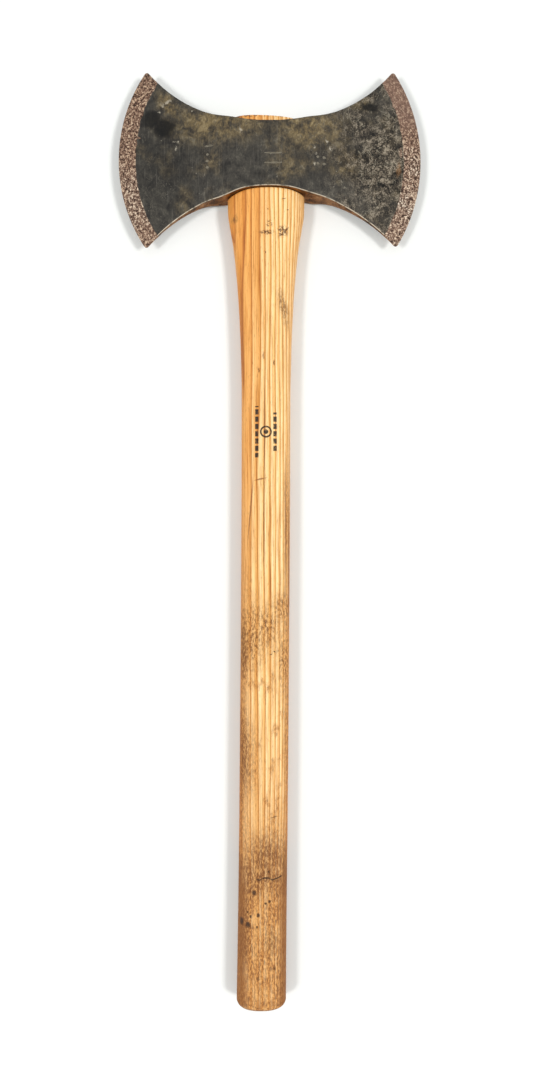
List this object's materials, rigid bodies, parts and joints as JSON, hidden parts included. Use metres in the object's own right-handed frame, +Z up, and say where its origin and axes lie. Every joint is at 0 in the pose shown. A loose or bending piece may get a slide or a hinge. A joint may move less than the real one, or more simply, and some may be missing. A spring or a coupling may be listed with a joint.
{
  "type": "double-bit felling axe",
  "caption": "Forestry axe with a forged double-bit steel head on a long straight hickory haft, locked in the eye by a wooden wedge and a steel wedge.",
  "frame": {"origin": "on the surface the axe lies on, under the middle of its box; the haft runs along X and the axe lies on one cheek", "axes": "+X along the haft from butt to head; +Y and -Y towards the two cutting edges; +Z up through the cheeks, out of the surface it lies on"},
  "size_m": [0.884, 0.2862, 0.028],
  "materials": {
    "forged_steel": "satin",
    "hickory": "satin",
    "wedge_wood": "matte",
    "wedge_steel": "satin"
  },
  "bodies": {
    "root": {"axe_head": "forged_steel", "haft": "hickory", "eye_wedge": "wedge_wood", "steel_wedge": "wedge_steel"}
  },
  "joints": []
}
